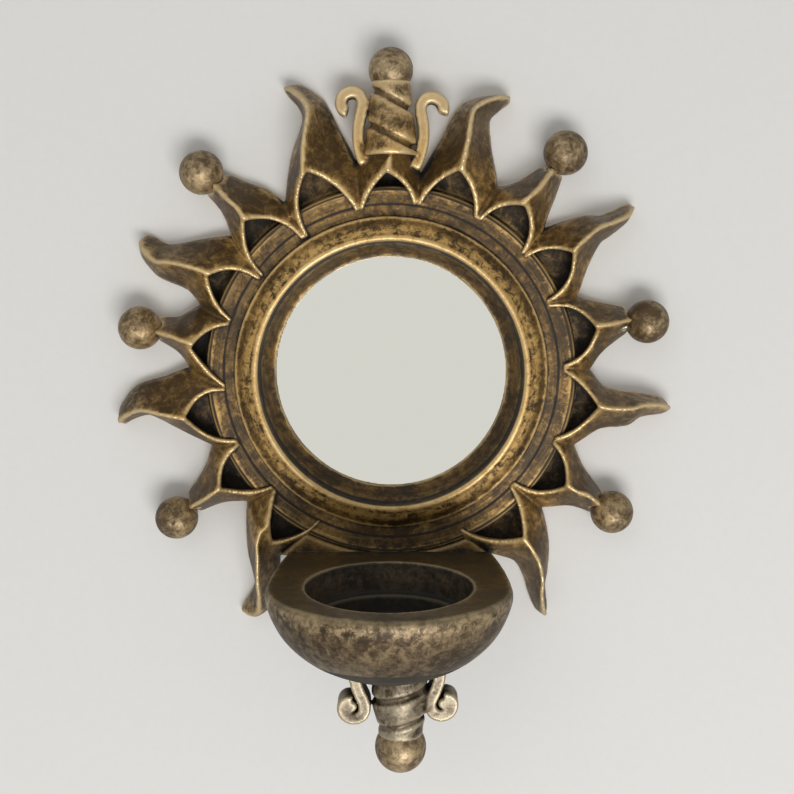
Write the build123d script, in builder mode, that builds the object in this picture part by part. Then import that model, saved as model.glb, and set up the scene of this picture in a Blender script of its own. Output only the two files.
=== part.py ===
"""Sunburst wall mirror with a candle bowl: aged cast rays round a small round glass.

The origin is the mirror's axis where it meets the wall. +Z is up, the front faces -Y,
so a height above the wall is a distance along -Y. Angles run clockwise from the top.
"""

import os
from math import asin, cos, degrees, radians, sin, sqrt

from build123d import *

# Glass and backing board
glass_radius = 63.5
glass_thickness = 3.0
glass_clearance = 0.5
board_thickness = 3.0
board_ledge = 7.5
board_clearance = 0.5

# Raised moulding round the glass
lip_overlap = 2.0
lip_thickness = 1.1
spigot_width = 8.5
spigot_clearance = 0.1
crest_distance = 9.2
crest_height = 22.5
moulding_width = 19.8
moulding_edge_height = 16.1

# Dial behind the moulding
plate_thickness = 12.5
rim_width = 16.7
rim_bevel = 1.8
groove_places = (6.7, 14.2)
groove_width = 0.9
groove_depth = 0.8

# Rays
wall = 2.5
floor = 3.0
foot_rise = 2.0
foot_width = 1.5
side_draft = 1.5
notch_height = 8.0
root_ridge = 24.0
notch_ridge = 25.0
ray_steps = 3
cusp_overlap = 0.06
ball_radius = 11.0
ball_pit = 0.9
seat_gap = 0.1
dowel_radius = 2.0
dowel_length = 16.0

# Crown finial
crown_base = 31.7
crown_centre = 12.2
crown_radii = (13.4, 12.2, 11.2, 10.2, 9.8)
crown_stem_height = 36.4
crown_ball_rise = 42.2
crown_ball_radius = 11.0
crown_dowel = 14.0
crown_twist = 26.0
groove_round = 2.4
groove_bite = 1.3
strip_width = 4.7
strip_depth = 11.0
strip_standoff = 3.0

# Candle bowl and its bracket
bowl_x = -0.6
bowl_drop = 1.4
bowl_reach = 61.4
bowl_half_width = 59.7
bowl_front = 54.5
bowl_back = 151.0
bowl_depth = 45.0
bowl_rim_round = 1.5
well_radius = 41.0
well_depth = 16.0
ledge_width = 5.0
ledge_depth = 10.0
bracket_half_width = 51.0
bracket_depth = 34.0
bracket_drop = 2.0
bowl_screw_length = 22.0
bowl_screw_places = ((-25.0, 8.0), (25.0, 8.0), (0.0, 24.0))

# Drop finial
drop_x = 5.0
drop_radii = (12.8, 13.7, 13.4, 11.4, 10.4)
drop_stem_height = 29.6
drop_ball_fall = 36.6
drop_ball_radius = 12.3
drop_twist = 14.0
drop_strip_width = 4.8
drop_strip_depth = 12.0
bulb_radius = 2.4
rod_radius = 2.0
rod_bite = 9.0

# Hanger and screws
hanger_width = 38.0
hanger_height = 18.0
hanger_thickness = 1.5
keyhole_radius = 4.5
keyhole_slot = 2.2
keyhole_travel = 7.0
hanger_fit = 0.2
hook_room = 7.0
screw_radius = 1.5
screw_head = 3.0
screw_length = 9.0

# Sizes that follow from those above
lip_radius = glass_radius - lip_overlap
ring_radius = lip_radius + moulding_width
spigot_radius = lip_radius + spigot_width
plate_radius = ring_radius + rim_width
glass_front = board_thickness + glass_thickness
board_radius = glass_radius + glass_clearance + board_ledge
bowl_axis = plate_thickness + bowl_reach
bowl_rim = -(plate_radius - bowl_drop)
board_screw_circle = (glass_radius + glass_clearance + spigot_radius) / 2
hanger_rise = (board_radius + board_clearance + plate_radius) / 2


def dial(angle, out):
    """Point (x, z) at an angle from the top, a distance out from the moulding."""
    reach = ring_radius + out
    return reach * sin(radians(angle)), reach * cos(radians(angle))


def between(start, end, share):
    """Point at a share of the way from one (x, z) point to another."""
    return (
        start[0] + (end[0] - start[0]) * share,
        start[1] + (end[1] - start[1]) * share,
    )


def span(start, end):
    """Distance between two (x, z) points."""
    return sqrt((end[0] - start[0]) ** 2 + (end[1] - start[1]) ** 2)


def cross_plane(start, end):
    """Upright plane through two (x, z) points: local x runs between them, local y off the wall."""
    run, rise = end[0] - start[0], end[1] - start[1]
    return Plane(origin=(start[0], 0, start[1]), x_dir=(run, 0, rise), z_dir=(rise, 0, -run))


def front(height):
    """Plane at a height above the wall, facing the viewer, with local (x, y) as (x, z)."""
    return Plane.XZ.offset(height)


def rear_place(x, z):
    """Place on the rear face whose holes run forward from the wall."""
    return Plane(origin=(x, 0, z), x_dir=(-1, 0, 0), z_dir=(0, 1, 0))


def ring_place(radius, angle):
    """Rear place at a radius and an angle from the top."""
    return rear_place(radius * sin(radians(angle)), radius * cos(radians(angle)))


# Where neighbouring rays meet: the cusp on the dial, and the notch where they part
valleys = {
    "crown_right": ((8.6, 7.8), (8.4, 21.3)),
    "one": ((29.0, 10.7), (29.8, 29.2)),
    "two": ((47.9, 11.4), (46.9, 27.3)),
    "half_two": ((65.7, 8.2), (67.9, 23.6)),
    "three": ((88.1, 9.5), (89.3, 23.6)),
    "half_three": ((112.4, 12.3), (111.9, 23.6)),
    "four": ((132.6, 6.0), (132.3, 27.2)),
    "bowl_right": ((156.7, 10.8), (151.7, 30.6)),
    "bowl_left": ((205.2, 6.9), (211.1, 33.4)),
    "seven": ((225.5, 6.7), (227.9, 22.9)),
    "eight": ((245.7, 8.0), (247.7, 21.9)),
    "nine": ((265.3, 6.9), (270.9, 25.0)),
    "half_nine": ((288.0, 7.7), (289.3, 24.9)),
    "ten": ((306.8, 3.2), (310.3, 27.8)),
    "eleven": ((327.9, 2.6), (327.9, 21.6)),
    "crown_left": ((349.1, 5.6), (350.5, 28.3)),
}

# Flame rays: the two valleys, then cross sections (left edge, right edge, ridge share)
# walking out to the tip, then the arch of the opening (left shoulder, point, right shoulder)
flame_ridges = (24.5, 21.0, 18.5, 13.0, 8.5)
flame_sides = (6.0, 5.0, 5.0, 4.5, 4.0)
flame_bellies = (-1.2, 0.6, 1.2, 1.2, 1.0)
flames = {
    "flame_ray_1": (
        ("crown_right", "one"),
        (
            ((12.3, 44.6), (24.4, 45.4), 0.47),
            ((14.0, 59.0), (21.4, 58.9), 0.43),
            ((15.9, 65.5), (21.9, 63.8), 0.43),
            ((21.1, 73.0), (23.5, 71.0), 0.38),
            ((22.9, 73.6), (23.7, 72.4), 0.41),
        ),
        ((14.2, 22.3), (18.3, 29.4), (22.8, 23.8)),
    ),
    "flame_ray_2": (
        ("two", "half_two"),
        (
            ((48.7, 38.3), (62.0, 35.9), 0.47),
            ((51.3, 50.5), (58.3, 48.1), 0.47),
            ((53.2, 55.7), (58.1, 53.8), 0.40),
            ((54.4, 68.2), (57.4, 66.3), 0.60),
            ((54.9, 72.1), (56.2, 71.0), 0.51),
        ),
        ((51.4, 23.7), (55.7, 31.5), (61.0, 24.5)),
    ),
    "flame_ray_3": (
        ("three", "half_three"),
        (
            ((94.1, 32.4), (105.5, 34.8), 0.38),
            ((95.1, 45.0), (102.9, 49.4), 0.34),
            ((95.1, 50.9), (100.5, 54.6), 0.32),
            ((95.6, 63.4), (98.9, 65.9), 0.30),
            ((96.6, 67.6), (98.2, 68.8), 0.32),
        ),
        ((93.8, 20.0), (98.7, 28.2), (105.0, 22.7)),
    ),
    "flame_ray_4": (
        ("four", "bowl_right"),
        (
            ((137.3, 45.1), (147.1, 42.8), 0.44),
            ((142.3, 58.3), (147.5, 54.9), 0.37),
            ((144.4, 63.4), (148.2, 60.5), 0.36),
            ((146.5, 73.3), (148.9, 71.4), 0.39),
            ((147.2, 76.2), (148.4, 76.2), 0.35),
        ),
        ((136.9, 19.3), (140.8, 29.4), (148.5, 23.3)),
    ),
    "flame_ray_5": (
        ("bowl_left", "seven"),
        (
            ((209.4, 43.6), (219.2, 43.1), 0.54),
            ((207.9, 54.6), (213.8, 54.4), 0.64),
            ((207.5, 59.1), (212.4, 58.9), 0.60),
            ((207.1, 65.7), (212.2, 70.0), 0.35),
            ((207.8, 70.8), (212.0, 74.9), 0.39),
        ),
        ((210.6, 21.3), (215.3, 29.2), (220.5, 16.9)),
    ),
    "flame_ray_6": (
        ("eight", "nine"),
        (
            ((253.7, 34.6), (268.8, 38.8), 0.38),
            ((258.7, 46.7), (267.3, 52.4), 0.33),
            ((259.8, 51.6), (266.0, 58.0), 0.31),
            ((259.4, 60.6), (262.5, 65.6), 0.37),
            ((258.7, 65.4), (260.8, 67.3), 0.46),
        ),
        ((253.3, 23.8), (258.7, 28.2), (264.0, 17.4)),
    ),
    "flame_ray_7": (
        ("half_nine", "ten"),
        (
            ((292.0, 34.9), (305.3, 39.6), 0.48),
            ((292.1, 47.4), (300.8, 50.1), 0.53),
            ((292.5, 53.4), (299.6, 54.7), 0.47),
            ((294.6, 63.3), (299.6, 62.9), 0.42),
            ((296.4, 66.8), (299.2, 66.6), 0.45),
        ),
        ((293.9, 19.7), (298.6, 26.2), (303.2, 18.9)),
    ),
    "flame_ray_8": (
        ("eleven", "crown_left"),
        (
            ((335.3, 42.9), (348.1, 47.0), 0.30),
            ((340.6, 57.2), (346.8, 58.6), 0.27),
            ((340.9, 63.8), (345.9, 64.8), 0.31),
            ((339.8, 71.2), (342.5, 74.9), 0.33),
            ((339.4, 74.9), (340.1, 76.3), 0.30),
        ),
        ((334.3, 26.2), (337.8, 31.7), (343.5, 20.8)),
    ),
}

# Ball rays: as the flames, with the place of the ball at the end
neck_ridges = (24.0, 22.0, 17.0)
neck_sides = (6.0, 5.0, 4.5)
neck_bellies = (-1.0, 0.3, 1.0)
ball_rays = {
    "ball_ray_1": (
        ("one", "two"),
        (
            ((32.6, 35.4), (44.6, 36.9), 0.42),
            ((34.2, 40.9), (43.5, 42.5), 0.42),
            ((36.2, 51.5), (41.2, 54.4), 0.37),
        ),
        ((32.9, 22.1), (38.1, 29.5), (42.7, 24.6)),
        (38.2, 63.7),
    ),
    "ball_ray_2": (
        ("half_two", "three"),
        (
            ((70.4, 31.2), (86.1, 28.8), 0.38),
            ((72.1, 36.8), (83.6, 34.5), 0.41),
            ((74.7, 47.8), (80.7, 45.3), 0.40),
        ),
        ((70.7, 21.0), (77.4, 28.1), (83.0, 21.7)),
        (78.5, 55.6),
    ),
    "ball_ray_3": (
        ("half_three", "four"),
        (
            ((116.1, 33.1), (128.6, 36.2), 0.47),
            ((118.0, 40.0), (126.7, 42.1), 0.40),
            ((120.1, 50.9), (125.3, 52.6), 0.40),
        ),
        ((118.1, 23.1), (122.8, 27.5), (128.4, 19.6)),
        (122.3, 58.5),
    ),
    "ball_ray_4": (
        ("seven", "eight"),
        (
            ((231.0, 31.7), (243.4, 30.3), 0.44),
            ((232.4, 37.7), (241.2, 37.1), 0.44),
            ((233.6, 47.5), (239.0, 47.6), 0.50),
        ),
        ((231.3, 19.0), (236.2, 26.5), (241.3, 20.2)),
        (235.9, 57.7),
    ),
    "ball_ray_5": (
        ("nine", "half_nine"),
        (
            ((273.8, 29.7), (286.5, 30.8), 0.46),
            ((275.8, 34.7), (284.4, 35.2), 0.51),
            ((277.7, 43.6), (283.1, 45.4), 0.49),
        ),
        ((273.0, 17.1), (277.7, 23.6), (283.3, 17.2)),
        (280.3, 52.6),
    ),
    "ball_ray_6": (
        ("ten", "eleven"),
        (
            ((312.4, 35.7), (325.9, 34.0), 0.39),
            ((313.6, 42.2), (323.3, 41.8), 0.38),
            ((314.0, 52.3), (320.5, 53.0), 0.47),
        ),
        ((312.1, 20.3), (316.8, 28.1), (322.9, 19.4)),
        (316.8, 61.4),
    ),
}

os.makedirs("parts", exist_ok=True)
pieces = []


def finish(part, name):
    """Label a finished piece, write it and keep it for the last check."""
    part.label = name
    export_step(part, f"parts/{name}.step")
    pieces.append(part)


# Backplate: a grooved dial with a bevelled rim, bored for the moulding, glass and board
with BuildPart() as dial_blank:
    with BuildSketch(Plane.XY):
        with BuildLine():
            Polyline(
                (0, 0),
                (0, -plate_thickness),
                (plate_radius - rim_bevel, -plate_thickness),
                (plate_radius, -(plate_thickness - 2 * rim_bevel)),
                (plate_radius, 0),
                close=True,
            )
        make_face()
    revolve(axis=Axis.Y)

with BuildPart() as backplate:
    add(dial_blank.part)
    for place in groove_places:
        with BuildSketch(front(plate_thickness)):
            Circle(ring_radius + place + groove_width / 2)
            Circle(ring_radius + place - groove_width / 2, mode=Mode.SUBTRACT)
        extrude(amount=-groove_depth, mode=Mode.SUBTRACT)
    with BuildSketch(front(0)):
        Circle(glass_radius + glass_clearance)
    extrude(amount=plate_thickness, mode=Mode.SUBTRACT)
    with BuildSketch(front(0)):
        Circle(board_radius + board_clearance)
    extrude(amount=board_thickness, mode=Mode.SUBTRACT)
    with BuildSketch(front(glass_front)):
        Circle(spigot_radius + spigot_clearance)
    extrude(amount=plate_thickness - glass_front, mode=Mode.SUBTRACT)
    with BuildSketch(front(0)):
        with Locations((0, hanger_rise)):
            Rectangle(hanger_width + 2 * hanger_fit, hanger_height + 2 * hanger_fit)
    extrude(amount=hanger_thickness, mode=Mode.SUBTRACT)
    with BuildSketch(front(0)):
        with Locations((0, hanger_rise)):
            Rectangle(2 * keyhole_radius + 2, hanger_height - 2)
    extrude(amount=hanger_thickness + hook_room, mode=Mode.SUBTRACT)
    with Locations(*[ring_place(board_screw_circle, angle) for angle in (45, 135, 225, 315)]):
        Hole(screw_radius, depth=screw_length)
    with Locations(*[rear_place(side * hanger_width * 0.37, hanger_rise) for side in (-1, 1)]):
        Hole(screw_radius, depth=screw_length)
finish(backplate.part, "backplate")

# Moulding: a spigot in the dial, a thin lip over the glass, a cove, a round crest
with BuildPart() as bezel_ring:
    with BuildSketch(Plane.XY):
        with BuildLine():
            lip_top = (lip_radius, -(glass_front + lip_thickness))
            cove_foot = (lip_radius + 1.6, -(glass_front + lip_thickness + 0.4))
            cove_head = (lip_radius + crest_distance - 1.9, -(crest_height - 1.4))
            bead_foot = (lip_radius + crest_distance - 1.5, -(crest_height - 1.6))
            crest = (lip_radius + crest_distance, -crest_height)
            shoulder = (lip_radius + crest_distance + 1.9, -(crest_height - 0.9))
            edge_round = (ring_radius - 1.2, -(moulding_edge_height + 0.9))
            edge = (ring_radius, -(moulding_edge_height - 0.4))
            Line((lip_radius, -glass_front), lip_top)
            Line(lip_top, cove_foot)
            cove_middle = between(cove_foot, cove_head, 0.5)
            ThreePointArc(cove_foot, (cove_middle[0] + 1.5, cove_middle[1] + 1.2), cove_head)
            Line(cove_head, bead_foot)
            ThreePointArc(bead_foot, crest, shoulder)
            slope_middle = between(shoulder, edge_round, 0.5)
            ThreePointArc(shoulder, (slope_middle[0], slope_middle[1] - 0.6), edge_round)
            ThreePointArc(edge_round, between(edge_round, (ring_radius, edge_round[1]), 0.75), edge)
            Line(edge, (ring_radius, -plate_thickness))
            Line((ring_radius, -plate_thickness), (spigot_radius, -plate_thickness))
            Line((spigot_radius, -plate_thickness), (spigot_radius, -glass_front))
            Line((spigot_radius, -glass_front), (lip_radius, -glass_front))
        make_face()
    revolve(axis=Axis.Y)
    with Locations(*[ring_place(board_screw_circle, angle) for angle in (45, 135, 225, 315)]):
        Hole(screw_radius, depth=screw_length)
finish(bezel_ring.part, "bezel_ring")

with BuildPart() as mirror_glass:
    with BuildSketch(front(board_thickness)):
        Circle(glass_radius)
    extrude(amount=glass_thickness)
finish(mirror_glass.part, "mirror_glass")

with BuildPart() as backing_board:
    with BuildSketch(front(0)):
        Circle(board_radius)
    extrude(amount=board_thickness)
    with Locations(*[ring_place(board_screw_circle, angle) for angle in (45, 135, 225, 315)]):
        CounterSinkHole(screw_radius, screw_head, depth=board_thickness, counter_sink_angle=90)
finish(backing_board.part, "backing_board")


def countersunk_screw(length):
    """Countersunk screw with its head flush at the origin, pointing down."""
    with BuildPart() as screw:
        with BuildSketch(Plane.XZ):
            with BuildLine():
                taper = screw_head - screw_radius
                Polyline(
                    (0, 0),
                    (screw_head, 0),
                    (screw_radius, -taper),
                    (screw_radius, -(length - screw_radius)),
                    (0, -length),
                    close=True,
                )
            make_face()
        revolve(axis=Axis.Z)
    return screw.part


with BuildPart() as board_screws:
    with Locations(*[ring_place(board_screw_circle, angle) for angle in (45, 135, 225, 315)]):
        add(countersunk_screw(screw_length))
finish(board_screws.part, "board_screws")

# Keyhole hanger let flush into the rear of the dial, above the board
keyhole_z = hanger_rise - hanger_height / 2 + keyhole_radius + 2.0
with BuildPart() as keyhole_hanger:
    with BuildSketch(front(0)):
        with Locations((0, hanger_rise)):
            RectangleRounded(hanger_width, hanger_height, 2)
        with Locations((0, keyhole_z)):
            Circle(keyhole_radius, mode=Mode.SUBTRACT)
        with Locations((0, keyhole_z + keyhole_travel / 2)):
            Rectangle(2 * keyhole_slot, keyhole_travel, mode=Mode.SUBTRACT)
        with Locations((0, keyhole_z + keyhole_travel)):
            Circle(keyhole_slot, mode=Mode.SUBTRACT)
    extrude(amount=hanger_thickness)
    with Locations(*[rear_place(side * hanger_width * 0.37, hanger_rise) for side in (-1, 1)]):
        CounterSinkHole(screw_radius, screw_head, depth=hanger_thickness, counter_sink_angle=90)
finish(keyhole_hanger.part, "keyhole_hanger")

with BuildPart() as hanger_screws:
    with Locations(*[rear_place(side * hanger_width * 0.37, hanger_rise) for side in (-1, 1)]):
        add(countersunk_screw(screw_length))
finish(hanger_screws.part, "hanger_screws")

# Bowl: an oval underside cut flat where it meets its bracket, a round well with a ledge
bowl_turns = (0, 3, 14, 26, 38, 50, 62, 73, 82)
with BuildPart() as bowl_blank:
    for turn in bowl_turns:
        share = sin(radians(turn))
        size = cos(radians(turn)) if turn else 1 - bowl_rim_round / bowl_half_width
        with BuildSketch(Plane.XY.offset(bowl_rim - bowl_depth * share)):
            with BuildLine():
                side = bowl_half_width * size
                centre = (bowl_x, -bowl_axis)
                EllipticalCenterArc(centre, side, bowl_front * size, 180, arc_size=180)
                EllipticalCenterArc(centre, side, bowl_back * size, 0, arc_size=180)
            make_face()
    loft()
    split(bisect_by=front(plate_thickness), keep=Keep.TOP)

with BuildPart() as bowl_bracket:
    with BuildSketch(front(0)):
        with BuildLine():
            left_cusp, left_notch = (dial(*point) for point in valleys["bowl_left"])
            right_cusp, right_notch = (dial(*point) for point in valleys["bowl_right"])
            waist = bowl_rim - bracket_drop
            Polyline(
                (-bracket_half_width, waist),
                left_notch,
                left_cusp,
                right_cusp,
                right_notch,
                (bracket_half_width, waist),
            )
            EllipticalCenterArc((0, waist), bracket_half_width, bracket_depth, 180, arc_size=180)
        make_face()
    extrude(amount=plate_thickness)
    with BuildSketch(front(0)):
        Circle(plate_radius)
    extrude(amount=plate_thickness, mode=Mode.SUBTRACT)
    with Locations(*[rear_place(x, bowl_rim - drop) for x, drop in bowl_screw_places]):
        CounterSinkHole(screw_radius, screw_head, depth=plate_thickness, counter_sink_angle=90)
finish(bowl_bracket.part, "bowl_bracket")

with BuildPart() as candle_bowl:
    add(bowl_blank.part)
    with BuildSketch(Plane.XY.offset(bowl_rim)):
        with Locations((bowl_x, -bowl_axis)):
            Circle(well_radius)
    extrude(amount=-well_depth, mode=Mode.SUBTRACT)
    with BuildSketch(Plane.XY.offset(bowl_rim)):
        with Locations((bowl_x, -bowl_axis)):
            Circle(well_radius - ledge_width)
    extrude(amount=-(well_depth + ledge_depth), mode=Mode.SUBTRACT)
    with Locations(*[rear_place(x, bowl_rim - drop) for x, drop in bowl_screw_places]):
        Hole(screw_radius, depth=bowl_screw_length)
    with Locations((drop_x, -bowl_axis, bowl_rim - bowl_depth)):
        Cylinder(rod_radius + seat_gap, 2 * rod_bite, mode=Mode.SUBTRACT)
finish(candle_bowl.part, "candle_bowl")

with BuildPart() as bowl_screws:
    with Locations(*[rear_place(x, bowl_rim - drop) for x, drop in bowl_screw_places]):
        add(countersunk_screw(bowl_screw_length))
finish(bowl_screws.part, "bowl_screws")


def roof_section(left, right, share, ridge, side, belly, inset=0.0, base=0.0):
    """Gabled cross section of a ray between two (x, z) points, drawn in by an inset."""
    width = span(left, right)
    foot = inset
    eave = inset + min(side_draft, (width - 2 * inset) / 4)
    top = ridge - 1.2 * inset
    drop = side - 0.4 * inset
    peak = width * share
    left_flank = []
    right_flank = []
    for climb in (0.25, 0.5, 0.75):
        height = drop + (top - drop) * climb + 4 * belly * climb * (1 - climb)
        left_flank.append((eave + (peak - eave) * climb, height))
        right_flank.append((width - eave + (peak - width + eave) * climb, height))
    corners = [(foot, base), (eave, drop), *left_flank, (peak, top)]
    corners += [*reversed(right_flank), (width - eave, drop), (width - foot, base)]
    with BuildSketch(cross_plane(left, right)) as section:
        with BuildLine():
            Polyline(*corners, close=True)
        make_face()
    return section.sketch


def eased(sections, steps):
    """The same row of ray sections with smooth ones worked out between them."""
    rows = [(*left, *right, *rest) for left, right, *rest in sections]
    places = [0.0]
    for start, end in zip(sections, sections[1:]):
        step = span(between(start[0], start[1], 0.5), between(end[0], end[1], 0.5))
        places.append(places[-1] + step)
    last = len(rows) - 1
    slopes = []
    for count in range(len(rows)):
        low, high = max(count - 1, 0), min(count + 1, last)
        reach = places[high] - places[low]
        slopes.append([(end - start) / reach for start, end in zip(rows[low], rows[high])])
    fine = []
    for count in range(last):
        reach = places[count + 1] - places[count]
        for share in [step / steps for step in range(steps)]:
            blend = share * share * (3 - 2 * share)
            leave = reach * share * (1 - share) ** 2
            arrive = reach * share * share * (1 - share)
            ends = zip(rows[count], rows[count + 1], slopes[count], slopes[count + 1])
            fine.append([a + (b - a) * blend + c * leave - d * arrive for a, b, c, d in ends])
    fine.append(rows[last])
    return [(tuple(row[0:2]), tuple(row[2:4]), *row[4:]) for row in fine]


def valley_plane(name):
    """Upright plane where two rays meet, facing clockwise."""
    cusp, notch = (dial(*point) for point in valleys[name])
    run, rise = notch[0] - cusp[0], notch[1] - cusp[1]
    return Plane(origin=(cusp[0], 0, cusp[1]), x_dir=(run, 0, rise), z_dir=(rise, 0, -run))


def hollow_ray(ends, rows, ridges, sides, bellies, arch, hollow_rows=1):
    """Hollow ray between two valleys, open at the dial through an arch, seated on the dial."""
    left_cusp, left_notch = (dial(*point) for point in valleys[ends[0]])
    right_cusp, right_notch = (dial(*point) for point in valleys[ends[1]])
    first_share = rows[0][2]
    cusp_side = plate_thickness + foot_rise
    sections = [
        (left_cusp, right_cusp, (0.5 + first_share) / 2, root_ridge, cusp_side, 2.0),
        (left_notch, right_notch, first_share, notch_ridge, notch_height, 0.8),
    ]
    for row, ridge, side, belly in zip(rows, ridges, sides, bellies):
        sections.append((dial(*row[0]), dial(*row[1]), row[2], ridge, side, belly))
    outside = []
    inside = []
    for count, (left, right, *form) in enumerate(eased(sections, ray_steps)):
        past = count / ray_steps
        spread = 0.02 + cusp_overlap * sin(radians(180 * past)) if past <= 1 else 0.0
        wide_left = between(left, right, -spread)
        wide_right = between(left, right, 1 + spread)
        outside.append(roof_section(wide_left, wide_right, *form))
        if past <= 1 + hollow_rows:
            inset = wall + max(past - 1, 0)
            inside.append(roof_section(left, right, *form, inset=inset, base=floor))
    with BuildPart() as ray:
        loft(outside, ruled=True)
        loft(inside, ruled=True, mode=Mode.SUBTRACT)
        with BuildSketch(front(floor)):
            with BuildLine():
                shoulder_left, point, shoulder_right = (dial(*place) for place in arch)
                chord = span(left_cusp, right_cusp)
                foot_left = between(left_cusp, right_cusp, foot_width / chord)
                foot_right = between(left_cusp, right_cusp, 1 - foot_width / chord)
                Spline(foot_left, shoulder_left, point)
                Spline(point, shoulder_right, foot_right)
                inner_right = between(foot_right, (0, 0), 0.1)
                inner_left = between(foot_left, (0, 0), 0.1)
                Polyline(foot_right, inner_right, inner_left, foot_left)
            make_face()
        extrude(amount=notch_ridge + 5, mode=Mode.SUBTRACT)
        if not ends[0].startswith("bowl"):
            split(bisect_by=valley_plane(ends[0]), keep=Keep.TOP)
        if not ends[1].startswith("bowl"):
            split(bisect_by=valley_plane(ends[1]), keep=Keep.BOTTOM)
        add(dial_blank.part, mode=Mode.SUBTRACT)
    return ray.part


def ball_place(place):
    """Plane at a ball's centre, with local z pointing out along its ray."""
    x, z = dial(*place)
    angle = radians(place[0])
    return Plane(
        origin=(x, -ball_radius, z),
        x_dir=(0, 1, 0),
        z_dir=(sin(angle), 0, cos(angle)),
    )


for name, (ends, rows, arch) in flames.items():
    with BuildPart() as flame:
        add(hollow_ray(ends, rows, flame_ridges, flame_sides, flame_bellies, arch))
        if "bowl_left" in ends or "bowl_right" in ends:
            add(bowl_bracket.part, mode=Mode.SUBTRACT)
            add(bowl_blank.part, mode=Mode.SUBTRACT)
    finish(flame.part, name)

for name, (ends, rows, arch, place) in ball_rays.items():
    with BuildPart() as neck:
        add(hollow_ray(ends, rows, neck_ridges, neck_sides, neck_bellies, arch))
        with Locations(ball_place(place)):
            Sphere(ball_radius + seat_gap, mode=Mode.SUBTRACT)
            Cylinder(dowel_radius + seat_gap, 2 * dowel_length, mode=Mode.SUBTRACT)
    finish(neck.part, name)
    with BuildPart() as ball:
        with Locations(ball_place(place)):
            Sphere(ball_radius)
        with Locations(ball_place(place).offset(-dowel_length / 2)):
            Cylinder(dowel_radius + seat_gap, dowel_length, mode=Mode.SUBTRACT)
        x, z = dial(*place)
        with Locations((x, -2 * ball_radius, z)):
            Sphere(ball_pit, mode=Mode.SUBTRACT)
    finish(ball.part, name.replace("ball_ray", "ray_ball"))

with BuildPart() as ball_dowels:
    for ends, rows, arch, place in ball_rays.values():
        with Locations(ball_place(place).offset(-dowel_length / 2 - 0.5)):
            Cylinder(dowel_radius, dowel_length - 1)
finish(ball_dowels.part, "ball_dowels")

# Crown: a pointed petal, a twisted stem with a flat back, a ball and two scrolled strips
crown_base_z = ring_radius + crown_base
half_petal = degrees(asin(crown_radii[0] / (ring_radius + crown_base + 0.8)))
petal_end = ((360 - half_petal, crown_base + 0.8), (half_petal, crown_base + 0.8), 0.5)
with BuildPart() as crown_petal:
    petal_arch = ((355.0, 17.0), (358.7, 22.8), (4.2, 16.8))
    petal_ends = ("crown_left", "crown_right")
    add(hollow_ray(petal_ends, (petal_end,), (24.0,), (9.0,), (1.0,), petal_arch, 0))
    split(bisect_by=Plane.XY.offset(crown_base_z), keep=Keep.BOTTOM)
    with Locations((0, -crown_centre, crown_base_z)):
        Cylinder(dowel_radius + seat_gap, crown_dowel, mode=Mode.SUBTRACT)
finish(crown_petal.part, "crown_petal")


def turned_stem(radii, length, tilt):
    """Twisted stem standing on the origin: a turned profile with slanting grooves."""
    pitch = length / (len(radii) - 1)
    with BuildPart() as stem:
        with BuildSketch(Plane.XZ):
            with BuildLine():
                side = [(radius, pitch * count) for count, radius in enumerate(radii)]
                Spline(*side)
                Polyline(side[-1], (0, length), (0, 0), side[0])
            make_face()
        revolve(axis=Axis.Z)
        for count in (1, 3):
            place = Location((0, 0, pitch * count), (0, tilt, 0))
            with Locations(place):
                ring = radii[count] + groove_round - groove_bite
                Torus(ring, groove_round, mode=Mode.SUBTRACT)
    return stem.part


with BuildPart() as crown_stem:
    with Locations((0, -crown_centre, crown_base_z)):
        add(turned_stem(crown_radii, crown_stem_height, crown_twist))
    split(bisect_by=front(0), keep=Keep.TOP)
    with Locations((0, -crown_centre, crown_base_z)):
        Cylinder(dowel_radius + seat_gap, crown_dowel, mode=Mode.SUBTRACT)
    with Locations((0, -crown_centre, crown_base_z + crown_ball_rise)):
        Sphere(crown_ball_radius + seat_gap, mode=Mode.SUBTRACT)
        Cylinder(dowel_radius + seat_gap, 2 * crown_dowel, mode=Mode.SUBTRACT)
finish(crown_stem.part, "crown_stem")

with BuildPart() as crown_ball:
    with Locations((0, -crown_centre, crown_base_z + crown_ball_rise)):
        Sphere(crown_ball_radius)
    with Locations((0, -crown_centre, crown_base_z + crown_ball_rise - crown_dowel / 2)):
        Cylinder(dowel_radius + seat_gap, crown_dowel, mode=Mode.SUBTRACT)
finish(crown_ball.part, "crown_ball")

with BuildPart() as crown_dowels:
    with Locations(
        (0, -crown_centre, crown_base_z),
        (0, -crown_centre, crown_base_z + crown_ball_rise - crown_dowel / 2),
    ):
        Cylinder(dowel_radius, crown_dowel - 1)
finish(crown_dowels.part, "crown_dowels")

crown_scrolls = {
    "crown_scroll_left": (
        (-13.6, -4.0),
        (-16.3, 3.0),
        (-16.9, 10.5),
        (-15.8, 18.5),
        (-14.5, 25.0),
        (-16.2, 30.2),
        (-20.4, 31.4),
        (-24.6, 28.9),
        (-25.4, 24.3),
        (-22.8, 21.9),
    ),
    "crown_scroll_right": (
        (12.2, -6.5),
        (15.6, 2.0),
        (16.8, 10.0),
        (16.0, 18.0),
        (15.3, 23.3),
        (17.4, 27.7),
        (22.0, 28.6),
        (26.1, 25.9),
        (26.6, 21.2),
    ),
}
for name, path in crown_scrolls.items():
    with BuildPart() as scroll:
        with BuildSketch(front(strip_standoff)):
            with BuildLine():
                Spline(*[(x, crown_base_z + rise) for x, rise in path])
            trace(line_width=strip_width)
        extrude(amount=strip_depth)
        add(crown_petal.part, mode=Mode.SUBTRACT)
        add(crown_stem.part, mode=Mode.SUBTRACT)
    finish(scroll.part, name)

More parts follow.
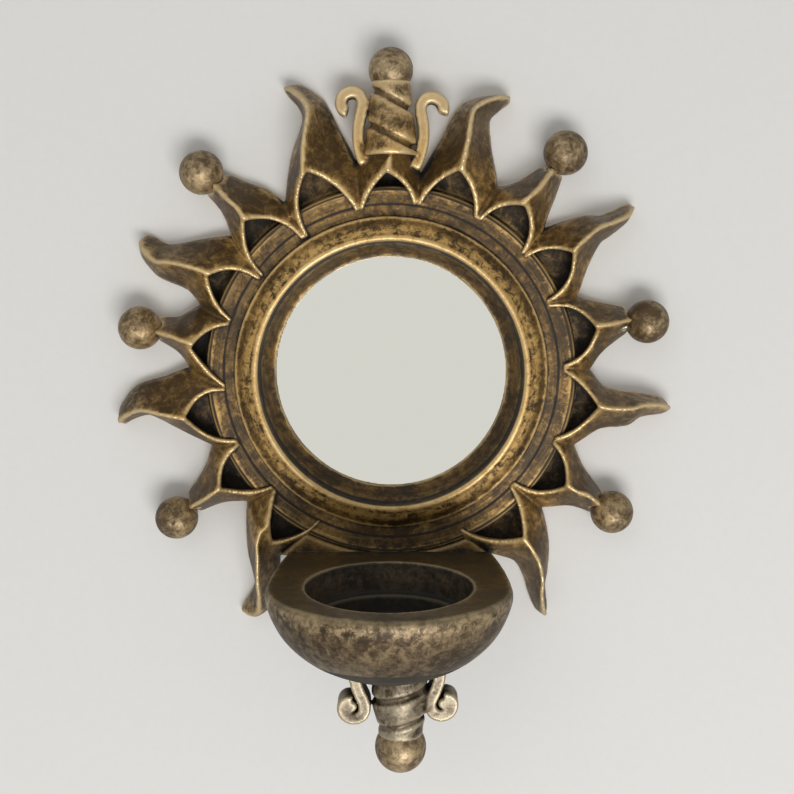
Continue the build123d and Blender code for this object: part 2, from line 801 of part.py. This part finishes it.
# Drop below the bowl, held by a rod through the stem
bowl_bottom = bowl_rim - bowl_depth
drop_ball_z = bowl_bottom - drop_ball_fall
rod_length = rod_bite + drop_ball_fall
with BuildPart() as drop_stem:
    with Locations(Location((drop_x, -bowl_axis, bowl_bottom), (180, 0, 0))):
        add(turned_stem(drop_radii, drop_stem_height, drop_twist))
    with BuildSketch(Plane.XY.offset(bowl_bottom)):
        with Locations((drop_x, -bowl_axis)):
            Circle(drop_radii[0])
    extrude(amount=bowl_depth / 6)
    add(bowl_blank.part, mode=Mode.SUBTRACT)
    with Locations((drop_x, -bowl_axis, drop_ball_z)):
        Sphere(drop_ball_radius + seat_gap, mode=Mode.SUBTRACT)
        Cylinder(rod_radius + seat_gap, 3 * rod_length, mode=Mode.SUBTRACT)
finish(drop_stem.part, "drop_stem")

with BuildPart() as drop_ball:
    with Locations((drop_x, -bowl_axis, drop_ball_z)):
        Sphere(drop_ball_radius)
    with Locations((drop_x, -bowl_axis, drop_ball_z + rod_length / 2)):
        Cylinder(rod_radius + seat_gap, rod_length, mode=Mode.SUBTRACT)
finish(drop_ball.part, "drop_ball")

with BuildPart() as drop_rod:
    with Locations((drop_x, -bowl_axis, drop_ball_z + rod_length / 2)):
        Cylinder(rod_radius, rod_length - 1)
finish(drop_rod.part, "drop_rod")

drop_scrolls = {
    "drop_scroll_left": (
        (-19.3, -13.9),
        (
            (-17.2, 5.5),
            (-17.0, -1.0),
            (-14.7, -8.0),
            (-12.6, -13.5),
            (-13.7, -18.2),
            (-18.0, -20.1),
            (-22.5, -17.3),
            (-22.6, -12.8),
            (-19.2, -11.4),
        ),
    ),
    "drop_scroll_right": (
        (26.3, -12.3),
        (
            (23.8, 6.5),
            (23.5, -1.0),
            (21.2, -7.5),
            (19.4, -12.8),
            (21.3, -17.2),
            (25.7, -18.4),
            (29.7, -15.3),
            (29.8, -11.0),
            (26.6, -9.7),
        ),
    ),
}
for name, (bulb, path) in drop_scrolls.items():
    with BuildPart() as scroll:
        with BuildSketch(front(bowl_axis - drop_strip_depth / 2)):
            with BuildLine():
                Spline(*[(x, bowl_bottom + rise) for x, rise in path])
            trace(line_width=drop_strip_width)
            with Locations((bulb[0], bowl_bottom + bulb[1])):
                Circle(bulb_radius)
        extrude(amount=drop_strip_depth)
        add(bowl_blank.part, mode=Mode.SUBTRACT)
        add(drop_stem.part, mode=Mode.SUBTRACT)
    finish(scroll.part, name)

whole = Compound(children=pieces)
box = whole.bounding_box()
print("pieces:", len(pieces))
print("overall:", [round(size, 1) for size in (box.size.X, box.size.Y, box.size.Z)])
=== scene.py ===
import math
import bmesh
import bpy
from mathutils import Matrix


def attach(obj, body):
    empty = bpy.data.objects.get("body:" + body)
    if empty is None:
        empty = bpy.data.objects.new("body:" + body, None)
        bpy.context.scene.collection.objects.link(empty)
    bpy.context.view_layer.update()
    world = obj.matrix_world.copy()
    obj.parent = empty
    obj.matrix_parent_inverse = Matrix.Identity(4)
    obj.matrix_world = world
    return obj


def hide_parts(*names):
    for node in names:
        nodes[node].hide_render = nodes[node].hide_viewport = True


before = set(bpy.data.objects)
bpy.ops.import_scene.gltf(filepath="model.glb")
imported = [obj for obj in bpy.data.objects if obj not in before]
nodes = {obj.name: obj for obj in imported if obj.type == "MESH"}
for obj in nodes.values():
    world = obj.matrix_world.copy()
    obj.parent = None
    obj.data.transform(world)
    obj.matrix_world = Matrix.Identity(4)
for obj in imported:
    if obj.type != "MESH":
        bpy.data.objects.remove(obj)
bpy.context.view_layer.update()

scene = bpy.context.scene
scene.view_settings.view_transform = "Standard"
mm = 0.001


def tint(red, green, blue):
    # a colour picked on a screen, as the linear values that nodes take
    def linear(value):
        share = value / 255
        return share / 12.92 if share <= 0.04045 else ((share + 0.055) / 1.055) ** 2.4

    return linear(red), linear(green), linear(blue), 1.0


class Wire:  # an output socket that can be used in sums
    def __init__(self, bench, socket):
        self.bench = bench
        self.socket = socket

    def other(self, name):  # another output of the same node
        return Wire(self.bench, self.socket.node.outputs[name])

    def calc(self, operation, first, second=0.0, clamp=False):
        settings = {"operation": operation, "use_clamp": clamp}
        return self.bench.add("ShaderNodeMath", settings, {0: first, 1: second})

    def __add__(self, value):
        return self.calc("ADD", self, value)

    def __radd__(self, value):
        return self.calc("ADD", value, self)

    def __sub__(self, value):
        return self.calc("SUBTRACT", self, value)

    def __rsub__(self, value):
        return self.calc("SUBTRACT", value, self)

    def __mul__(self, value):
        return self.calc("MULTIPLY", self, value)

    def __truediv__(self, value):
        return self.calc("DIVIDE", self, value)

    def __rtruediv__(self, value):
        return self.calc("DIVIDE", value, self)

    def __pow__(self, value):
        return self.calc("POWER", self, value)

    def __abs__(self):
        return self.calc("ABSOLUTE", self)

    def held(self):  # kept between 0 and 1
        return self.calc("ADD", self, 0.0, clamp=True)

    def rise(self, low, high):  # 0 below low, 1 above high, eased between
        sockets = {"Value": self, "From Min": low, "From Max": high}
        return self.bench.add("ShaderNodeMapRange", {"interpolation_type": "SMOOTHSTEP"}, sockets)

    def fall(self, low, high):  # 1 below low, 0 above high
        sockets = {"Value": self, "From Min": low, "From Max": high, "To Min": 1.0, "To Max": 0.0}
        return self.bench.add("ShaderNodeMapRange", {"interpolation_type": "SMOOTHSTEP"}, sockets)

    def line(self, place, width):  # 1 at a value, eased to 0 over a width each side
        return abs(self - place).fall(width * 0.35, width)


class Bench:  # a node tree and the one way to put a node in it
    def __init__(self, tree):
        self.tree = tree

    def add(self, kind, settings=None, sockets=None, out=0):
        node = self.tree.nodes.new(kind)
        for name, value in (settings or {}).items():
            setattr(node, name, value)
        for key, value in (sockets or {}).items():
            if isinstance(value, Wire):
                self.tree.links.new(value.socket, node.inputs[key])
            else:
                node.inputs[key].default_value = value
        return Wire(self, node.outputs[out])

    def mix(self, first, second, factor):  # two colours
        settings = {"data_type": "RGBA"}
        return self.add("ShaderNodeMix", settings, {0: factor, 6: first, 7: second}, out=2)

    def noise(self, where, scale, detail=5.0, rough=0.6, stretch=0.0):
        sockets = {"Vector": where, "Scale": scale, "Detail": detail}
        sockets.update({"Roughness": rough, "Distortion": stretch})
        return self.add("ShaderNodeTexNoise", {}, sockets)


# The casting's skin: softened edges, hand-made lumps, and three measures for the patina and for the
# painted shade in hollows
castSkin = {
    "softening": 2,
    "overlap": 0.15 * mm,
    "fatten": 0.15 * mm,
    "beadRise": 0.35 * mm,
    "beadReach": 14,
    "lumpSize": 7 * mm,
    "lumpDepth": 0.10 * mm,
    "shelterReach": 22 * mm,
    "shelterLooks": 28,
    "fineReach": 7,
    "broadReach": 26,
    "seed": 3,
}


def buildSkinTree(surroundings):
    tree = bpy.data.node_groups.new("castSkin", "GeometryNodeTree")
    face = tree.interface
    face.new_socket("Geometry", in_out="INPUT", socket_type="NodeSocketGeometry")
    wanted = {
        "Softening": ("NodeSocketInt", castSkin["softening"]),
        "Fatten": ("NodeSocketFloat", castSkin["fatten"]),
        "Bead rise": ("NodeSocketFloat", castSkin["beadRise"]),
        "Bead reach": ("NodeSocketInt", castSkin["beadReach"]),
        "Lump size": ("NodeSocketFloat", castSkin["lumpSize"]),
        "Lump depth": ("NodeSocketFloat", castSkin["lumpDepth"]),
        "Shelter reach": ("NodeSocketFloat", castSkin["shelterReach"]),
        "Shelter looks": ("NodeSocketInt", castSkin["shelterLooks"]),
        "Fine reach": ("NodeSocketInt", castSkin["fineReach"]),
        "Broad reach": ("NodeSocketInt", castSkin["broadReach"]),
        "Seed": ("NodeSocketInt", castSkin["seed"]),
        "Surroundings": ("NodeSocketObject", surroundings),
        "Finish": ("NodeSocketMaterial", None),
    }
    for name, (kind, value) in wanted.items():
        socket = face.new_socket(name, in_out="INPUT", socket_type=kind)
        if value is not None:
            socket.default_value = value
    face.new_socket("Geometry", in_out="OUTPUT", socket_type="NodeSocketGeometry")
    bench = Bench(tree)
    given = bench.add("NodeGroupInput")

    def place():
        return bench.add("GeometryNodeInputPosition")

    def normal():
        return bench.add("GeometryNodeInputNormal")

    def vector(operation, first, second=None, scale=None, out=0):
        sockets = {0: first}
        if second is not None:
            sockets[1] = second
        if scale is not None:
            sockets["Scale"] = scale
        return bench.add("ShaderNodeVectorMath", {"operation": operation}, sockets, out=out)

    def blurred(steps):
        sockets = {"Value": place(), "Iterations": steps}
        return bench.add("GeometryNodeBlurAttribute", {"data_type": "FLOAT_VECTOR"}, sockets)

    def bulge(steps):  # how far the surface stands out of its own average, in metres
        away = vector("SUBTRACT", place(), blurred(steps))
        return vector("DOT_PRODUCT", away, normal(), out="Value")

    calm = blurred(given.other("Softening"))
    softened = bench.add("GeometryNodeSetPosition", {}, {"Geometry": given, "Position": calm})
    lumps = bench.noise(place(), 1.0 / given.other("Lump size"), 3.0, 0.5) - 0.5
    swell = (bulge(given.other("Bead reach")) / (0.6 * mm)).held() * given.other("Bead rise")
    push = swell + lumps * given.other("Lump depth") * 2.0 + given.other("Fatten")
    shaped = bench.add(
        "GeometryNodeSetPosition",
        {},
        {"Geometry": softened, "Offset": vector("SCALE", normal(), scale=push)},
    )

    def stored(geometry, name, value):
        settings = {"data_type": "FLOAT", "domain": "POINT"}
        sockets = {"Geometry": geometry, "Name": name, "Value": value}
        return bench.add("GeometryNodeStoreNamedAttribute", settings, sockets)

    shaped = stored(shaped, "edge", bulge(given.other("Fine reach")) / mm)
    shaped = stored(shaped, "form", bulge(given.other("Broad reach")) / mm)
    # looks in many directions at what stands close by; the more hidden a point is, the darker it is
    # painted later, partly as patina and partly as painted shade
    target = {"Object": given.other("Surroundings")}
    around = bench.add("GeometryNodeObjectInfo", {}, target, out="Geometry")
    first = tree.nodes.new("GeometryNodeRepeatInput")
    last = tree.nodes.new("GeometryNodeRepeatOutput")
    first.pair_with_output(last)
    last.repeat_items.clear()
    last.repeat_items.new("FLOAT", "Hidden")
    tree.links.new(given.other("Shelter looks").socket, first.inputs["Iterations"])
    turn = Wire(bench, first.outputs["Iteration"]) * 17.0 + given.other("Seed")
    anyWay = bench.add(
        "FunctionNodeRandomValue",
        {"data_type": "FLOAT_VECTOR"},
        {"Min": (-1, -1, -1), "Max": (1, 1, 1), "Seed": turn},
    )
    sideways = vector("SCALE", vector("NORMALIZE", anyWay), scale=0.97)
    look = vector("NORMALIZE", vector("ADD", sideways, normal()))
    start = vector("ADD", place(), vector("SCALE", normal(), scale=0.9 * mm))
    cast = bench.add(
        "GeometryNodeRaycast",
        {},
        {
            "Target Geometry": around,
            "Source Position": start,
            "Ray Direction": look,
            "Ray Length": given.other("Shelter reach"),
        },
        out="Is Hit",
    )
    near = 1.0 - (cast.other("Hit Distance") / given.other("Shelter reach")) * 0.6
    total = Wire(bench, first.outputs["Hidden"]) + cast * near
    tree.links.new(total.socket, last.inputs["Hidden"])
    hidden = Wire(bench, last.outputs["Hidden"]) / given.other("Shelter looks")
    shaped = stored(shaped, "shelter", hidden)
    kept = bench.add("GeometryNodeInputNamedAttribute", {"data_type": "FLOAT"}, {"Name": "shelter"})
    blur = {"Value": kept, "Iterations": 4}
    eased = bench.add("GeometryNodeBlurAttribute", {"data_type": "FLOAT"}, blur)
    shaped = stored(shaped, "shelter", eased)
    whole = bench.add("GeometryNodeRealizeInstances", {}, {"Geometry": shaped})
    coat = {"Geometry": whole, "Material": given.other("Finish")}
    dressed = bench.add("GeometryNodeSetMaterial", {}, coat)
    end = tree.nodes.new("NodeGroupOutput")
    tree.links.new(dressed.socket, end.inputs[0])
    return tree


def inputKeys(tree):  # the identifier behind each named input
    return {
        item.name: item.identifier
        for item in tree.interface.items_tree
        if item.item_type == "SOCKET" and item.in_out == "INPUT"
    }


def mergedCopy(name, sources):  # the solids as one mesh, swollen a little so that they overlap
    work = bmesh.new()
    for source in sources:
        work.from_mesh(source.data)
    bmesh.ops.remove_doubles(work, verts=work.verts, dist=0.002 * mm)
    work.normal_update()
    for vertex, way in [(v, v.normal.copy()) for v in work.verts]:
        vertex.co += way * castSkin["overlap"]
    mesh = bpy.data.meshes.new(name)
    work.to_mesh(mesh)
    work.free()
    piece = bpy.data.objects.new(name, mesh)
    bpy.context.collection.objects.link(piece)
    return piece


def settle(piece):  # turns an object with live modifiers into a plain mesh
    depsgraph = bpy.context.evaluated_depsgraph_get()
    mesh = bpy.data.meshes.new_from_object(piece.evaluated_get(depsgraph))
    piece.modifiers.clear()
    old = piece.data
    piece.data = mesh
    bpy.data.meshes.remove(old)
    mesh.shade_smooth()


def castPiece(nodeNames, grain, finish, changes=None):
    piece = mergedCopy(nodeNames[0] + "_cast", [nodes[name] for name in nodeNames])
    remesh = piece.modifiers.new("grain", "REMESH")
    remesh.mode = "VOXEL"
    remesh.voxel_size = grain
    remesh.use_smooth_shade = True
    skin = piece.modifiers.new("skin", "NODES")
    skin.node_group = skinTree
    skin[skinKeys["Finish"]] = finish
    for key, value in (changes or {}).items():
        skin[skinKeys[key]] = value
    settle(piece)
    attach(piece, "root")
    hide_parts(*nodeNames)
    return piece


# Colours and places of the patina, the painted shade and the painted highlight
patinaAndShade = {
    "pitch": tint(13, 9, 5),
    "umber": tint(56, 41, 21),
    "bronze": tint(120, 91, 46),
    "gold": tint(194, 156, 92),
    "cream": tint(212, 187, 139),
    "ash": tint(112, 99, 80),
    "silver": tint(178, 166, 142),
    "rimOlive": tint(84, 68, 40),
    "well": tint(30, 28, 23),
}
glassEdge = (60.5 * mm, 63.5 * mm)  # where the silvering darkens
ringMarks = {  # distances from the axis
    "crest": 72.4 * mm,
    "crestReach": 6.2 * mm,
    "coveEdge": 68.0 * mm,
    "dialEdge": 80.5 * mm,
    "innerLine": 69.4 * mm,
    "grooves": (88.0 * mm, 95.5 * mm),
    "coveGroove": 68.6 * mm,
}
bowlMarks = {  # the well's axis, its radius, and heights below the dial's axis
    "across": -0.6 * mm,
    "deep": -73.9 * mm,
    "wellRadius": 40.5 * mm,
    "rimTop": -98.5 * mm,
    "underRim": -102.0 * mm,
}


def readings(bench):
    where = bench.add("ShaderNodeTexCoord", out="Object")
    parts = bench.add("ShaderNodeSeparateXYZ", {}, {0: where})
    edge, form, shelter = [
        bench.add("ShaderNodeAttribute", {"attribute_name": name}, out="Fac")
        for name in ("edge", "form", "shelter")
    ]
    return where, parts, parts.other("Y"), parts.other("Z"), edge, form, shelter


def putOut(material, shader):
    end = material.node_tree.nodes.new("ShaderNodeOutputMaterial")
    material.node_tree.links.new(shader.socket, end.inputs["Surface"])


def finishOff(bench, material, colour, roughness, metallic, height, depth):
    bump = bench.add("ShaderNodeBump", {}, {"Height": height, "Distance": depth, "Strength": 0.8})
    sockets = {"Base Color": colour, "Roughness": roughness, "Metallic": metallic, "Normal": bump}
    putOut(material, bench.add("ShaderNodeBsdfPrincipled", {}, sockets))


def freshMaterial(name):
    material = bpy.data.materials.new(name)
    material.use_nodes = True
    material.node_tree.nodes.clear()
    return material, Bench(material.node_tree)


def agedBronze(name, greyed=0.0, kind="ray", dark=0.92, shine=1.0):
    material, bench = freshMaterial(name)
    where, x, y, z, edge, form, shelter = readings(bench)
    radius = (x * x + z * z) ** 0.5
    broad = bench.noise(where, 42.0, 4.0, 0.6)
    mottle = bench.noise(where, 240.0, 7.0, 0.72, 0.5)
    speck = bench.noise(where, 950.0, 4.0, 0.7)
    far = radius.rise(0.105, 0.150) * 0.45 + greyed
    ground = bench.mix(patinaAndShade["bronze"], patinaAndShade["ash"], far)
    patch = mottle * 0.65 + broad * 0.5 - 0.06
    colour = bench.mix(ground, patinaAndShade["umber"], patch.fall(0.42, 0.62) * dark)
    worn = bench.mix(patinaAndShade["gold"], patinaAndShade["silver"], far)
    pale = bench.mix(patinaAndShade["cream"], patinaAndShade["silver"], far * 0.6)
    rub = form * 1.3 + (mottle - 0.5) * 2.0 + (broad - 0.5) * 1.6 + (speck - 0.5) * 0.6
    rub = rub.rise(0.0, 0.85)
    # pale wear on the edges; on the ring it also carries a painted highlight line
    wearAndHighlight = edge * 3.0 + (mottle - 0.5) * 1.6 + (broad - 0.5) * 1.2 + (speck - 0.5) * 0.5
    wearAndHighlight = wearAndHighlight.rise(0.30, 1.15)
    # dark patina and painted shade: points hidden by nearby parts go towards near-black, edges less
    # so
    grimeAndShade = (shelter * 1.6 + (0.5 - mottle) * 0.8 - edge * 0.9).rise(0.34, 0.90)
    if kind == "ring":
        # the direction from the axis with the distance gives marks that run round the ring
        turn = {0: x / radius * 3.0, 1: z / radius * 3.0, 2: radius * 620.0}
        spun = bench.add("ShaderNodeCombineXYZ", {}, turn)
        streak = bench.noise(spun, 1.0, 5.0, 0.6)
        crest = radius.line(ringMarks["crest"], ringMarks["crestReach"])
        cove = radius.fall(ringMarks["coveEdge"], ringMarks["coveEdge"] + 1.5 * mm)
        dial = radius.rise(ringMarks["dialEdge"], ringMarks["dialEdge"] + 1.5 * mm)
        feather = (mottle * 0.8 + streak * 0.3).rise(0.46, 0.62)
        rub = (rub * (1.0 - cove * 0.5) + crest * feather * 0.95).held()
        # a pale line on the crest's inner edge: painted highlight, added to the worn colour
        paintedHighlightLine = radius.line(ringMarks["innerLine"], 0.7 * mm)
        wearAndHighlight = (wearAndHighlight * (1.0 - dial * 0.6) + paintedHighlightLine * 0.6).held()
        # dark lines along the grooves of the dial and the cove: painted shade
        grooves = radius.line(ringMarks["grooves"][0], 0.9 * mm)
        grooves = grooves + radius.line(ringMarks["grooves"][1], 0.9 * mm)
        grooves = grooves + radius.line(ringMarks["coveGroove"], 1.0 * mm)
        shade = cove * streak.rise(0.40, 0.60) * 0.6 + dial * streak.rise(0.44, 0.60) * 0.6
        rub = (rub + dial * streak.rise(0.52, 0.66) * 0.6).held()
        grimeAndShade = (grimeAndShade + grooves * 0.9 + shade).held()
    if kind == "bowl":
        across, deep = x - bowlMarks["across"], y - bowlMarks["deep"]
        reach = (across * across + deep * deep) ** 0.5
        # the inside of the candle well goes near-black: painted shade
        well = reach.fall(bowlMarks["wellRadius"], bowlMarks["wellRadius"] + 0.7 * mm)
        top = z.rise(bowlMarks["rimTop"], bowlMarks["rimTop"] + 1.5 * mm)
        under = z.line(bowlMarks["underRim"], 5.0 * mm)
        colour = bench.mix(colour, patinaAndShade["rimOlive"], top * 0.8)
        fleck = under * mottle.rise(0.44, 0.66) * 0.5
        lower = z.fall(-125 * mm, -105 * mm) * 0.25
        rub = (rub * (0.6 - top * 0.4) + fleck - lower).held()
        grimeAndShade = (grimeAndShade + well * 0.92 + top * broad.fall(0.40, 0.60) * 0.4).held()
    colour = bench.mix(colour, worn, rub * (0.85 * shine))
    colour = bench.mix(colour, pale, wearAndHighlight * (0.72 * shine))
    # the near-black of the patina and of the painted shade in hollows, grooves and the well goes on
    # last
    colour = bench.mix(colour, patinaAndShade["well"] if kind == "bowl" else patinaAndShade["pitch"], grimeAndShade * 0.94)
    roughness = 0.44 + grimeAndShade * 0.35 - wearAndHighlight * 0.12 + (speck - 0.5) * 0.2
    metallic = (1.0 - grimeAndShade) * 0.5
    height = mottle * 0.7 + speck * 0.4
    finishOff(bench, material, colour, roughness, metallic, height, 0.35 * mm)
    return material


def silveredGlass():
    material, bench = freshMaterial("silveredGlass")
    where = bench.add("ShaderNodeTexCoord", out="Object")
    parts = bench.add("ShaderNodeSeparateXYZ", {}, {0: where})
    radius = (parts * parts + parts.other("Z") * parts.other("Z")) ** 0.5
    cloud = bench.noise(where, 30.0, 3.0, 0.5)
    rim = radius.rise(*glassEdge)
    colour = bench.mix(tint(238, 238, 230), tint(70, 76, 66), rim * 0.7)
    roughness = 0.012 + cloud * 0.012
    sockets = {"Base Color": colour, "Roughness": roughness, "Metallic": 1.0}
    putOut(material, bench.add("ShaderNodeBsdfPrincipled", {}, sockets))
    return material


def brownBoard():
    material, bench = freshMaterial("brownHardboard")
    where = bench.add("ShaderNodeTexCoord", out="Object")
    fibre = bench.noise(where, 900.0, 6.0, 0.75, 1.2)
    blotch = bench.noise(where, 45.0, 4.0, 0.6)
    share = (fibre * 0.7 + blotch * 0.5).rise(0.4, 0.8)
    colour = bench.mix(tint(92, 66, 44), tint(128, 96, 66), share)
    finishOff(bench, material, colour, 0.62 + fibre * 0.2, 0.0, fibre, 0.15 * mm)
    return material


def zincSteel():
    material, bench = freshMaterial("zincSteel")
    where = bench.add("ShaderNodeTexCoord", out="Object")
    spangle = bench.noise(where, 420.0, 5.0, 0.65)
    dull = bench.noise(where, 90.0, 4.0, 0.6)
    colour = bench.mix(tint(150, 150, 146), tint(196, 197, 192), spangle.rise(0.35, 0.65))
    finishOff(bench, material, colour, 0.30 + dull * 0.22, 0.9, spangle, 0.04 * mm)
    return material


# Camera first
view = {
    "place": (0.00449, -0.61636, 0.07095),
    "tilt": 7.8637,  # degrees below level
    "turn": 0.1323,
    "lens": 52.389,
    "sensor": 36.0,
}
cameraData = bpy.data.cameras.new("camera")
cameraData.sensor_width = view["sensor"]
cameraData.lens = view["lens"]
camera = bpy.data.objects.new("camera", cameraData)
camera.location = view["place"]
camera.rotation_euler = (math.radians(90 - view["tilt"]), 0, math.radians(view["turn"]))
scene.collection.objects.link(camera)
scene.camera = camera
print("camera set")

# The castings
allCad = bpy.data.meshes.new("surroundings")
joined = bmesh.new()
for nodeObject in nodes.values():
    joined.from_mesh(nodeObject.data)
joined.to_mesh(allCad)
joined.free()
surroundings = bpy.data.objects.new("surroundings", allCad)
scene.collection.objects.link(surroundings)
skinTree = buildSkinTree(surroundings)
skinKeys = inputKeys(skinTree)

rayBronze = agedBronze("agedBronzeRays", dark=0.8)
ringBronze = agedBronze("agedBronzeRing", kind="ring")
bowlBronze = agedBronze("agedBronzeBowl", greyed=0.6, kind="bowl", dark=1.0, shine=0.7)
# the bracket under the dial gets little rubbed or worn colour, so it stays dark: painted shade
shadedBracketBronze = agedBronze("agedBronzeBracket", dark=1.0, shine=0.15)
pewter = agedBronze("agedPewter", greyed=0.6, dark=1.0, shine=0.62)
ballBronze = agedBronze("agedBronzeBalls", greyed=0.15, dark=0.6)

castings = {  # grain of the mesh and finish of each
    "backplate": (0.8 * mm, ringBronze),
    "bezel_ring": (0.7 * mm, ringBronze),
    "bowl_bracket": (1.0 * mm, shadedBracketBronze),
    "candle_bowl": (0.8 * mm, bowlBronze),
    "crown_ball": (0.6 * mm, ballBronze),
    "drop_ball": (0.6 * mm, ballBronze),
}
for count in range(1, 7):
    castings["ray_ball_%d" % count] = (0.6 * mm, ballBronze)
# Pieces that run into each other are dressed together, so that their rims merge:
# their nodes, the grain in millimetres, the finish and how often the mesh is softened
crownParts = ("crown_petal", "crown_stem", "crown_scroll_left", "crown_scroll_right")
groups = (
    (("flame_ray_5", "ball_ray_4", "flame_ray_6", "ball_ray_5", "flame_ray_7"), 0.65, rayBronze, 6),
    (("flame_ray_8", "ball_ray_6", *crownParts, "flame_ray_1", "ball_ray_1"), 0.78, rayBronze, 4),
    (("flame_ray_2", "ball_ray_2", "flame_ray_3", "ball_ray_3", "flame_ray_4"), 0.65, rayBronze, 6),
    (("drop_stem", "drop_scroll_left", "drop_scroll_right"), 0.65, pewter, 4),
)
triangles = 0
for nodeName, (grain, finish) in castings.items():
    piece = castPiece([nodeName], grain, finish)
    piece.data.calc_loop_triangles()
    triangles += len(piece.data.loop_triangles)
for group, grain, finish, softening in groups:
    piece = castPiece(group, grain * mm, finish, {"Softening": softening, "Fatten": 0.35 * mm})
    piece.data.calc_loop_triangles()
    print(piece.name, len(piece.data.loop_triangles))
    triangles += len(piece.data.loop_triangles)
bpy.data.objects.remove(surroundings)
print("castings made, triangles", triangles)

# Glass, board and fixings keep their own solids
plain = {
    "mirror_glass": silveredGlass(),
    "backing_board": brownBoard(),
}
steel = zincSteel()
fixings = (
    "board_screws",
    "keyhole_hanger",
    "hanger_screws",
    "ball_dowels",
    "crown_dowels",
    "drop_rod",
    "bowl_screws",
)
for nodeName in fixings:
    plain[nodeName] = steel
for nodeName, finish in plain.items():
    for slot in nodes[nodeName].material_slots:
        slot.material = finish
print("glass, board and fixings finished")

# Wall, floor and light
def stagePlane(name, corners, colour):
    mesh = bpy.data.meshes.new(name)
    mesh.from_pydata(corners, [], [(0, 1, 2, 3)])
    plane = bpy.data.objects.new(name, mesh)
    scene.collection.objects.link(plane)
    material, bench = freshMaterial(name)
    where = bench.add("ShaderNodeTexCoord", out="Object")
    tooth = bench.noise(where, 300.0, 4.0, 0.6)
    shade = bench.mix(tuple(0.985 * c for c in colour[:3]) + (1.0,), colour, tooth.rise(0.3, 0.7))
    body = bench.add("ShaderNodeBsdfPrincipled", {}, {"Base Color": shade, "Roughness": 0.9})
    away = bench.add("ShaderNodeBsdfTransparent")
    behind = bench.add("ShaderNodeNewGeometry", out="Backfacing")
    seen = bench.add("ShaderNodeLightPath", out="Is Camera Ray")
    # open to all but the camera, so that light reaches the back of the mirror
    both = bench.add("ShaderNodeMixShader", {}, {0: (behind + 1.0 - seen).held(), 1: body, 2: away})
    putOut(material, both)
    mesh.materials.append(material)


room = {"half": 3, "deep": -3, "floor": -1.6, "top": 2.4, "wall": 1.5 * mm}
paint = tint(204, 202, 199)
half, deep, floor, top, wall = [room[key] for key in ("half", "deep", "floor", "top", "wall")]
wallCorners = [(-half, wall, floor), (half, wall, floor), (half, wall, top), (-half, wall, top)]
floorCorners = [(-half, deep, floor), (half, deep, floor)]
floorCorners += [(half, wall, floor), (-half, wall, floor)]
stagePlane("wallStage", wallCorners, paint)
stagePlane("floorStage", floorCorners, paint)

world = bpy.data.worlds.new("studio")
scene.world = world
world.use_nodes = True
sky = world.node_tree.nodes["Background"]
sky.inputs["Color"].default_value = (0.80, 0.80, 0.78, 1)
sky.inputs["Strength"].default_value = 0.62


def softLight(name, place, aim, size, power):
    data = bpy.data.lights.new(name, "AREA")
    data.shape = "RECTANGLE"
    data.size, data.size_y = size
    data.energy = power
    light = bpy.data.objects.new(name, data)
    light.location = place
    toward = [a - p for a, p in zip(aim, place)]
    flat = math.hypot(toward[0], toward[1])
    light.rotation_euler = (math.atan2(flat, -toward[2]), 0, math.atan2(-toward[0], toward[1]))
    scene.collection.objects.link(light)


# name: place, aim, size in metres, power in watts
lights = {
    "lowFront": ((0.40, -2.0, -1.1), (0, 0, 0), (1.6, 0.8), 41.0),
    "paleCard": ((0, -2.4, -0.28), (0, 0, -0.28), (1.3, 1.1), 1.18),  # what the glass reflects
    "highFront": ((-0.6, -1.5, 1.0), (0, 0, 0), (1.0, 1.0), 3.0),
}
for name, (place, aim, size, power) in lights.items():
    softLight(name, place, aim, size, power)
print("wall, floor and light set")
